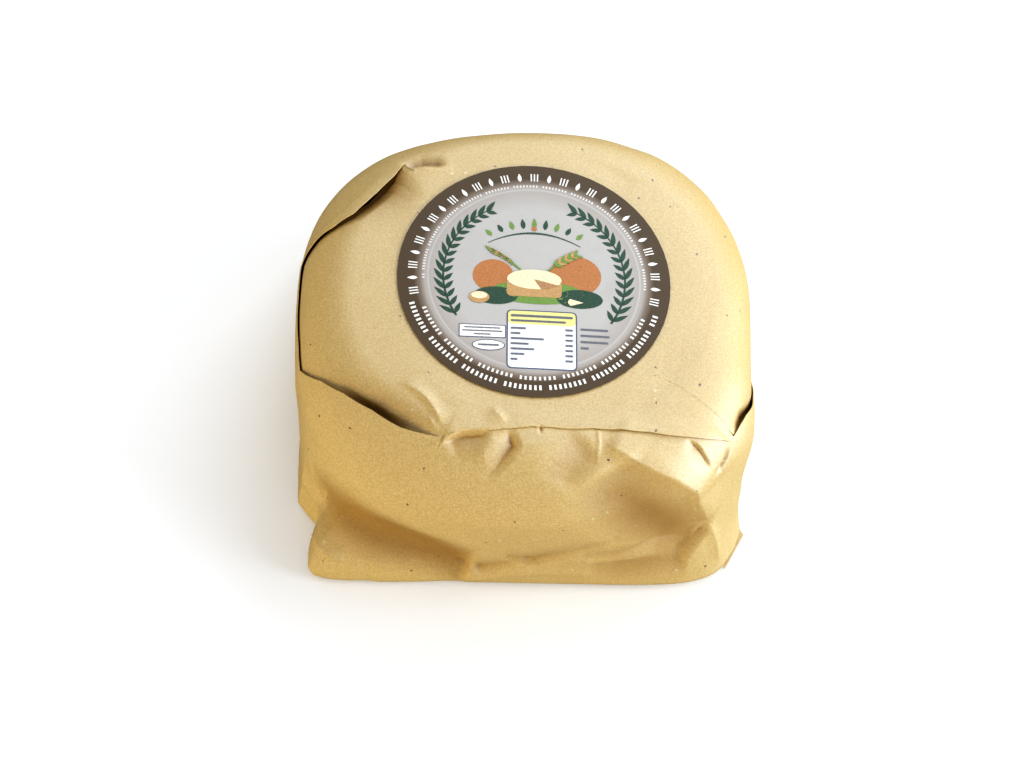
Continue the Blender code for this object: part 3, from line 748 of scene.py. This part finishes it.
def new_group(name, inputs, outputs):
    """A node group with number inputs and outputs."""
    group = bpy.data.node_groups.new(name, "ShaderNodeTree")
    for title, value in inputs.items():
        socket = group.interface.new_socket(name=title, in_out="INPUT", socket_type="NodeSocketFloat")
        socket.default_value = value
    for title in outputs:
        group.interface.new_socket(name=title, in_out="OUTPUT", socket_type="NodeSocketFloat")
    return group, group.nodes.new("NodeGroupInput"), group.nodes.new("NodeGroupOutput")


def feed(link, socket, value):
    """Gives an input a link or a plain value; a plain colour gets its alpha."""
    if isinstance(value, bpy.types.NodeSocket):
        link(value, socket)
    elif socket.type == "RGBA":
        socket.default_value = (*value, 1.0)
    else:
        socket.default_value = value


def add_noise(nodes, link, vector, scale, detail, roughness, distortion=0.0):
    texture = nodes.new("ShaderNodeTexNoise")
    values = {"Scale": scale, "Detail": detail, "Roughness": roughness, "Distortion": distortion}
    for name, value in values.items():
        feed(link, texture.inputs[name], value)
    link(vector, texture.inputs["Vector"])
    return texture


def maths(nodes, link, kind, operation, *values):
    node = nodes.new(kind)
    node.operation = operation
    for socket, value in zip(node.inputs, values):
        feed(link, socket, value)
    return node.outputs[0]


def add_grain(nodes, fibres):
    grain = nodes.new("ShaderNodeGroup")
    grain.node_tree = fibres
    return grain


def add_bump(nodes, link, shader, height, strength, distance):
    bump = nodes.new("ShaderNodeBump")
    bump.inputs["Strength"].default_value = strength
    bump.inputs["Distance"].default_value = distance
    link(height, bump.inputs["Height"])
    link(bump.outputs["Normal"], shader.inputs["Normal"])


def paper_fibre_group():
    """Mottling, dark flecks and fine fibre relief of unbleached paper, over object coordinates in metres."""
    sizes = {"Fibre Scale": 2400.0, "Mottle Scale": 1300.0, "Fleck Scale": 190.0, "Fleck Size": 0.085}
    group, ins, outs = new_group("paper_fibre", sizes, ("Mottle", "Flecks", "Pale Flecks", "Height"))
    nodes = group.nodes
    link = group.links.new
    where = nodes.new("ShaderNodeTexCoord").outputs["Object"]

    fibre = add_noise(nodes, link, where, ins.outputs["Fibre Scale"], 3.0, 0.6)
    cloud = add_noise(nodes, link, where, ins.outputs["Mottle Scale"], 5.0, 0.65)
    mottle = nodes.new("ShaderNodeMix")
    mottle.data_type = "FLOAT"
    mottle.inputs["Factor"].default_value = 0.45
    link(cloud.outputs["Fac"], mottle.inputs["A"])
    link(fibre.outputs["Fac"], mottle.inputs["B"])
    link(mottle.outputs["Result"], outs.inputs["Mottle"])

    ragged = add_noise(nodes, link, where, RAGGED_SCALE, 2.0, 0.5)
    pulled = maths(nodes, link, "ShaderNodeVectorMath", "MULTIPLY_ADD", ragged.outputs["Color"],
                   (RAGGED_PULL,) * 3, where)
    for output, offset, empty in FLECKS:
        moved = maths(nodes, link, "ShaderNodeVectorMath", "ADD", pulled, (offset,) * 3)
        cells = nodes.new("ShaderNodeTexVoronoi")
        link(moved, cells.inputs["Vector"])
        link(ins.outputs["Fleck Scale"], cells.inputs["Scale"])
        parts = nodes.new("ShaderNodeSeparateColor")
        link(cells.outputs["Color"], parts.inputs["Color"])
        near = maths(nodes, link, "ShaderNodeMath", "LESS_THAN", cells.outputs["Distance"],
                     ins.outputs["Fleck Size"])
        rare = maths(nodes, link, "ShaderNodeMath", "GREATER_THAN", parts.outputs["Red"], empty)
        link(maths(nodes, link, "ShaderNodeMath", "MULTIPLY", near, rare), outs.inputs[output])

    link(fibre.outputs["Fac"], outs.inputs["Height"])
    return group


def new_material(name, roughness):
    material = bpy.data.materials.new(name)
    material.use_nodes = True
    shader = material.node_tree.nodes["Principled BSDF"]
    shader.inputs["Roughness"].default_value = roughness
    return material, material.node_tree.nodes, material.node_tree.links.new, shader


def colour_ramp(nodes, stops):
    ramp = nodes.new("ShaderNodeValToRGB")
    elements = ramp.color_ramp.elements
    stops = list(stops)
    while len(elements) < len(stops):
        elements.new(0.5)
    for element, (position, colour) in zip(elements, stops):
        element.position = position
        element.color = (*colour, 1.0)
    return ramp


def mix_colour(nodes, link, factor, low, high, blend="MIX"):
    """A colour mix; low and high are sockets or plain colours, factor a socket or a number."""
    mix = nodes.new("ShaderNodeMix")
    mix.data_type = "RGBA"
    mix.blend_type = blend
    for number, value in ((0, factor), (6, low), (7, high)):
        feed(link, mix.inputs[number], value)
    return mix.outputs[2]


def straw_paper(fibres):
    material, nodes, link, shader = new_material("straw_paper", STRAW_ROUGHNESS)
    shader.inputs["IOR"].default_value = STRAW_IOR
    shader.inputs["Specular IOR Level"].default_value = 1.0
    grain = add_grain(nodes, fibres)
    tone = colour_ramp(nodes, zip(STRAW_STOPS, (STRAW_DARK, STRAW_LIGHT)))
    link(grain.outputs["Mottle"], tone.inputs["Fac"])
    flecked = mix_colour(nodes, link, grain.outputs["Flecks"], tone.outputs["Color"], STRAW_FLECK)
    speckled = mix_colour(nodes, link, grain.outputs["Pale Flecks"], flecked, STRAW_PALE)
    # Painted shade: the colour is darkened where the paper lies in a fold or under a lap
    painted_shade = nodes.new("ShaderNodeAttribute")
    painted_shade.attribute_name = "painted_shade"
    colour = mix_colour(nodes, link, painted_shade.outputs["Fac"], speckled, STRAW_PAINTED_SHADE, "MULTIPLY")
    link(colour, shader.inputs["Base Color"])
    add_bump(nodes, link, shader, grain.outputs["Height"], *STRAW_BUMP)
    return material


def label_paper(fibres):
    """Printed field of the label: brown ring, soft fade inwards, thin pale circle and a marbled pale middle."""
    material, nodes, link, shader = new_material("label_paper", LABEL_ROUGHNESS)
    shader.inputs["Specular IOR Level"].default_value = LABEL_SPECULAR
    where = nodes.new("ShaderNodeTexCoord")
    centred = nodes.new("ShaderNodeMapping")
    centred.vector_type = "POINT"
    centre = (LABEL_CENTRE[0] + SHIFT[0], LABEL_CENTRE[1] + SHIFT[1])
    scale = 1.0 / LABEL_RADIUS
    centred.inputs["Scale"].default_value = (scale, scale, 0.0)
    centred.inputs["Location"].default_value = (-centre[0] * scale, -centre[1] * scale, 0.0)
    link(where.outputs["Object"], centred.inputs["Vector"])
    radius = nodes.new("ShaderNodeVectorMath")
    radius.operation = "LENGTH"
    link(centred.outputs["Vector"], radius.inputs[0])

    field = colour_ramp(nodes, [
        (0.0, FIELD_PALE),
        (0.6, FIELD_PALE),
        (0.755, FIELD_SHADE),
        (0.767, FIELD_SHADE),
        (0.772, FIELD_PALE),
        (0.78, FIELD_PALE),
        (0.785, FIELD_SHADE),
        (0.8, FIELD_SHADE),
        (0.835, RING_EDGE),
        (0.88, RING_BROWN),
        (1.0, RING_BROWN),
    ])
    link(radius.outputs["Value"], field.inputs["Fac"])

    clouds = add_noise(nodes, link, centred.outputs["Vector"], 2.6, 6.0, 0.6, distortion=0.8)
    cover = colour_ramp(nodes, [(0.5, (0.0, 0.0, 0.0)), (0.74, (0.75, 0.75, 0.75))])
    link(clouds.outputs["Fac"], cover.inputs["Fac"])
    inside = colour_ramp(nodes, [(0.7, (1.0, 1.0, 1.0)), (0.8, (0.0, 0.0, 0.0))])
    link(radius.outputs["Value"], inside.inputs["Fac"])
    amount = mix_colour(nodes, link, 1.0, cover.outputs["Color"], inside.outputs["Color"], "MULTIPLY")
    marbled = mix_colour(nodes, link, amount, field.outputs["Color"], FIELD_CLOUD)

    grain = add_grain(nodes, fibres)
    toned = mix_colour(nodes, link, 0.1, marbled, grain.outputs["Mottle"], "OVERLAY")
    link(toned, shader.inputs["Base Color"])
    add_bump(nodes, link, shader, grain.outputs["Height"], *LABEL_BUMP)
    return material


def ink(name, colour, fibres):
    """Printing ink with the grain of the paper below it showing faintly."""
    material, nodes, link, shader = new_material(name, LABEL_ROUGHNESS)
    shader.inputs["Specular IOR Level"].default_value = LABEL_SPECULAR
    grain = add_grain(nodes, fibres)
    light = tuple(min(1.0, c * INK_LIGHTER + INK_LIFT) for c in colour)
    dark = tuple(c * INK_DARKER for c in colour)
    tone = colour_ramp(nodes, zip(INK_STOPS, (dark, light)))
    link(grain.outputs["Mottle"], tone.inputs["Fac"])
    link(tone.outputs["Color"], shader.inputs["Base Color"])
    return material


# Print on the label

class Print:
    """Flat printed shapes in label units: the label's radius is 1, u to the right and v up."""

    def __init__(self, name, inks):
        self.name = name
        self.inks = inks
        self.vertices = []
        self.faces = []
        self.face_inks = []

    def band(self, left, right, ink_name, layer=1, across=1):
        """A strip between two lines of as many points."""
        start = len(self.vertices)
        turn = math.radians(ART_TURN)
        c, s = math.cos(turn), math.sin(turn)
        for (lu, lv), (ru, rv) in zip(left, right):
            for k in range(across + 1):
                t = k / across
                u = lu + (ru - lu) * t
                v = lv + (rv - lv) * t
                x = LABEL_CENTRE[0] + LABEL_RADIUS * (u * c - v * s)
                y = LABEL_CENTRE[1] + LABEL_RADIUS * (u * s + v * c)
                self.vertices.append((x, y, float(top_height(x, y)) + LABEL_TOP + layer * INK_LAYER))
        width = across + 1
        number = list(self.inks).index(ink_name)
        for i in range(len(left) - 1):
            for k in range(across):
                a = start + i * width + k
                self.faces.append((a, a + 1, a + width + 1, a + width))
                self.face_inks.append(number)

    def stroke(self, line, widths, ink_name, layer=1):
        """A line of the given points, as wide at each as widths says."""
        left = []
        right = []
        for i, (u, v) in enumerate(line):
            before = line[max(i - 1, 0)]
            after = line[min(i + 1, len(line) - 1)]
            du = after[0] - before[0]
            dv = after[1] - before[1]
            size = math.hypot(du, dv)
            half = widths[i] / 2.0
            left.append((u - dv / size * half, v + du / size * half))
            right.append((u + dv / size * half, v - du / size * half))
        self.band(right, left, ink_name, layer)

    def arc_bar(self, inner, outer, start, end, ink_name, layer=1, steps=1):
        angles = [math.radians(start + (end - start) * i / steps) for i in range(steps + 1)]
        self.band(
            [(outer * math.cos(a), outer * math.sin(a)) for a in angles],
            [(inner * math.cos(a), inner * math.sin(a)) for a in angles],
            ink_name, layer)

    def leaf(self, base, tip, width, ink_name, layer=1, steps=6):
        line = [(base[0] + (tip[0] - base[0]) * i / steps, base[1] + (tip[1] - base[1]) * i / steps)
                for i in range(steps + 1)]
        widths = [width * math.sin(math.pi * (i / steps) ** LEAF_FULLNESS) + LEAF_END for i in range(steps + 1)]
        self.stroke(line, widths, ink_name, layer)

    def disc(self, centre, across_u, across_v, ink_name, layer=1, start=0.0, end=360.0, steps=28):
        """An ellipse or a slice of one."""
        angles = [math.radians(start + (end - start) * i / steps) for i in range(steps + 1)]
        rim = [(centre[0] + across_u * math.cos(a), centre[1] + across_v * math.sin(a)) for a in angles]
        self.band(rim, [centre] * len(rim), ink_name, layer, across=3)

    def box(self, low, high, radius, ink_name, layer=1, rows=8):
        """A box with round corners."""
        heights = [low[1] + radius * (1.0 - math.cos(math.radians(a))) for a in (0, 30, 60, 90)]
        inner = [low[1] + radius + (high[1] - low[1] - 2.0 * radius) * i / rows for i in range(1, rows)]
        heights += inner + [high[1] - (h - low[1]) for h in reversed(heights)]
        left = []
        right = []
        for v in heights:
            depth = max(low[1] + radius - v, v - high[1] + radius, 0.0)
            inset = radius - math.sqrt(max(radius * radius - depth * depth, 0.0))
            left.append((low[0] + inset, v))
            right.append((high[0] - inset, v))
        self.band(left, right, ink_name, layer, across=6)

    def finish(self):
        mesh = new_mesh(self.name, self.vertices, self.faces)
        first, *others = self.inks.values()
        thing = place(self.name, mesh, first)
        for material in others:
            mesh.materials.append(material)
        mesh.polygons.foreach_set("material_index", self.face_inks)
        mesh.update()
        return thing


def polar(radius, angle):
    return (radius * math.cos(math.radians(angle)), radius * math.sin(math.radians(angle)))


def border_marks(inks):
    """Pale ornament on the ring: bars and lozenges over fine dashes above, two rows of dashes below."""
    art = Print("label_border_marks", {"pale": inks["pale"], "soft": inks["soft"]})
    first, span, pitch = -10.0, 200.0, 7.0
    count = int(span / pitch)
    for i in range(count + 1):
        middle = first + span * i / count
        if i % 2:
            art.leaf(polar(0.852, middle), polar(0.928, middle), 0.03, "pale")
        else:
            for side in (-1.5, 0.0, 1.5):
                art.arc_bar(0.856, 0.924, middle + side - 0.35, middle + side + 0.35, "pale")
    rows = [
        (0.905, 0.945, 196.0, 344.0, 66, 0.5, "pale"),
        (0.835, 0.865, 200.0, 340.0, 60, 0.46, "pale"),
        (0.8, 0.82, -4.0, 184.0, 110, 0.55, "soft"),
    ]
    run = 9
    for inner, outer, start, end, number, share, ink_name in rows:
        pitch = (end - start) / number
        for i in range(number):
            if i % run == run - 1:
                continue
            a = start + pitch * i
            art.arc_bar(inner, outer, a, a + pitch * share, ink_name)
    return art.finish()


def sprigs(inks):
    """Two dark green branches that follow the ring, left and right."""
    art = Print("label_sprigs", {"green": inks["dark_green"]})
    ring, count, steps = 0.665, 15, 40
    for start, end in ((212.0, 118.0), (-33.0, 66.0)):
        line = [polar(ring, start + (end - start) * i / steps) for i in range(steps + 1)]
        art.stroke(line, [0.016 - 0.008 * i / steps for i in range(steps + 1)], "green")
        lean = 5.5 if end > start else -5.5
        for i in range(count):
            a = start + (end - start) * (i + 0.3) / count
            size = 0.095 - 0.03 * i / count
            for side in (-1.0, 1.0):
                base = polar(ring, a)
                tip = polar(ring + side * size * 0.8, a + lean * (1.3 + 0.25 * side))
                art.leaf(base, tip, 0.034, "green")
    return art.finish()


def ear(side, t):
    """A point of a bent ear of wheat, from its foot at 0 to its tip at 1."""
    return (side * 0.1 + side * 0.2 * t, 0.06 + 0.2 * t - 0.06 * t * t)


def picture(inks):
    """Middle of the label: a cut cheese before two round boards, with ears of wheat and green ovals, and above
    them a row of small leaves over an arc."""
    names = ("rust", "tan", "cream", "shade", "leaf_green", "dark_green")
    art = Print("label_picture", {name: inks[name] for name in names})
    art.disc((0.3, 0.03), 0.19, 0.17, "rust", 1)
    art.disc((-0.3, 0.0), 0.15, 0.14, "rust", 1)
    art.disc((0.02, -0.13), 0.34, 0.1, "leaf_green", 2)
    art.disc((-0.28, -0.17), 0.16, 0.075, "dark_green", 2)
    art.disc((0.33, -0.17), 0.17, 0.08, "dark_green", 2)
    art.box((-0.2, -0.17), (0.2, -0.02), 0.03, "tan", 3)
    art.disc((0.0, -0.02), 0.2, 0.085, "cream", 4)
    art.disc((0.0, -0.02), 0.2, 0.085, "shade", 5, start=-75.0, end=-30.0, steps=6)
    art.disc((0.36, -0.2), 0.115, 0.055, "cream", 4, start=150.0, end=215.0, steps=6)
    art.disc((-0.4, -0.19), 0.075, 0.05, "tan", 4)
    art.disc((-0.4, -0.175), 0.06, 0.03, "cream", 5)
    for side in (-1.0, 1.0):
        stem = [ear(side, t) for t in (0.0, 0.25, 0.5, 0.75, 1.0)]
        art.stroke(stem, [0.012] * len(stem), "leaf_green", 5)
        for i in range(7):
            base = ear(side, 0.25 + 0.12 * i)
            for lean in (-1.0, 1.0):
                tip = (base[0] + side * 0.045 + lean * -0.022, base[1] + 0.03 + lean * 0.03)
                art.leaf(base, tip, 0.024, "tan" if i % 2 else "leaf_green", 6)
    for i in range(-4, 5):
        u = 0.078 * i
        v = 0.47 - 0.006 * i * i
        size = 0.05 - 0.006 * abs(i)
        art.leaf((u, v - size), (u + 0.012 * i, v + size), 0.034, "dark_green" if i % 2 else "leaf_green", 2)
    art.stroke([(-0.34 + 0.68 * i / 16.0, 0.385 - 0.1 * ((i - 8) / 8.0) ** 2) for i in range(17)],
               [0.004 + 0.012 * (1.0 - abs(i - 8) / 8.0) for i in range(17)], "dark_green", 2)
    art.disc((0.0, 0.425), 0.02, 0.02, "rust", 3, steps=14)
    return art.finish()


def panels(inks):
    """Plain table with a yellow head, an outlined box, an oval and short bars."""
    names = ("white", "yellow", "line", "bar", "pale")
    art = Print("label_panels", {name: inks[name] for name in names})
    low, high = (-0.19, -0.765), (0.3, -0.295)
    edge = 0.01
    art.box((low[0] - edge, low[1] - edge), (high[0] + edge, high[1] + edge), 0.035, "line", 1)
    art.box(low, high, 0.028, "white", 2)
    art.box((low[0], -0.405), high, 0.028, "yellow", 3)
    art.box((low[0] + 0.02, -0.345), (high[0] - 0.02, -0.325), 0.008, "bar", 4)
    art.box((low[0] + 0.02, -0.385), (high[0] - 0.07, -0.368), 0.008, "bar", 4)
    widths = [0.11, 0.07, 0.24, 0.13, 0.17, 0.1, 0.05]
    for i, width in enumerate(widths):
        v = -0.44 - 0.043 * i
        art.box((low[0] + 0.02, v - 0.008), (low[0] + 0.02 + width, v + 0.008), 0.006, "bar", 4, rows=2)
        art.box((high[0] - 0.075, v - 0.008), (high[0] - 0.02, v + 0.008), 0.006, "bar", 4, rows=2)
    art.box((-0.545, -0.53), (-0.205, -0.42), 0.004, "line", 1)
    art.box((-0.538, -0.523), (-0.212, -0.427), 0.003, "pale", 2)
    for i, half in enumerate((0.13, 0.145, 0.06)):
        v = -0.448 - 0.027 * i
        art.box((-0.375 - half, v - 0.005), (-0.375 + half, v + 0.005), 0.004, "bar", 3, rows=2)
    art.disc((-0.33, -0.59), 0.12, 0.047, "line", 1)
    art.disc((-0.33, -0.59), 0.113, 0.04, "pale", 2)
    art.box((-0.405, -0.597), (-0.255, -0.583), 0.005, "bar", 3, rows=2)
    for i, width in enumerate((0.2, 0.21, 0.2, 0.06)):
        v = -0.425 - 0.052 * i
        art.box((0.335, v - 0.009), (0.335 + width, v + 0.009), 0.006, "bar", 1, rows=2)
    return art.finish()


def build_label(fibres):
    paper = label_paper(fibres)
    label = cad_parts["label"]
    label.data.materials.clear()
    label.data.materials.append(paper)
    inks = {name: ink("ink_" + name, colour, fibres) for name, colour in INK_COLOURS.items()}
    border_marks(inks)
    sprigs(inks)
    picture(inks)
    panels(inks)


# Studio

def build_floor():
    material, _, _, shader = new_material("studio_floor", FLOOR_ROUGHNESS)
    shader.inputs["Base Color"].default_value = FLOOR_TONE
    half = FLOOR_HALF
    corners = [(-half, -half, 0.0), (half, -half, 0.0), (half, half, 0.0), (-half, half, 0.0)]
    mesh = new_mesh("studio_floor", corners, [(0, 1, 2, 3)])
    mesh.materials.append(material)
    floor = add_object("studio_floor", mesh)
    floor.visible_glossy = False


def area_light(name, place_at, size, power, colour, glossy):
    data = bpy.data.lights.new(name, "AREA")
    data.shape = "RECTANGLE"
    data.size, data.size_y = size
    data.energy = power
    data.color = colour
    lamp = add_object(name, data)
    lamp.location = place_at
    lamp.rotation_euler = (Vector(LIGHT_AIM) - Vector(place_at)).to_track_quat("-Z", "Y").to_euler()
    lamp.visible_glossy = glossy


def build_light():
    world = bpy.data.worlds.new("studio_world")
    world.use_nodes = True
    background = world.node_tree.nodes["Background"]
    background.inputs["Color"].default_value = (1.0, 1.0, 1.0, 1.0)
    background.inputs["Strength"].default_value = WORLD_STRENGTH
    world.cycles_visibility.glossy = False
    bpy.context.scene.world = world
    for name, (place_at, size, power, colour, glossy) in LIGHTS.items():
        area_light(name, place_at, size, power, colour, glossy)


def build_camera():
    """Looks at the pack from the front and above, turned a little about its own axis."""
    elevation = math.radians(CAMERA_ELEVATION)
    roll = math.radians(CAMERA_ROLL)
    back = Vector((0.0, -math.cos(elevation), math.sin(elevation)))
    right = Vector((1.0, 0.0, 0.0))
    up = back.cross(right)
    turned_right = right * math.cos(roll) + up * math.sin(roll)
    turned_up = up * math.cos(roll) - right * math.sin(roll)
    data = bpy.data.cameras.new("photo_camera")
    data.lens = CAMERA_LENS
    data.sensor_width = SENSOR_WIDTH
    camera = add_object("photo_camera", data)
    axes = Matrix((turned_right, turned_up, back)).transposed()
    at = Vector(CAMERA_TARGET) + Vector(SHIFT) + back * CAMERA_DISTANCE
    camera.matrix_world = Matrix.Translation(at) @ axes.to_4x4()
    bpy.context.scene.camera = camera


view = bpy.context.scene.view_settings
view.view_transform = "Standard"
view.look = "High Contrast"
view.exposure = EXPOSURE
fibres = paper_fibre_group()
straw = straw_paper(fibres)
build_paper(straw)
build_flaps(straw)
build_label(fibres)
build_floor()
build_light()
build_camera()
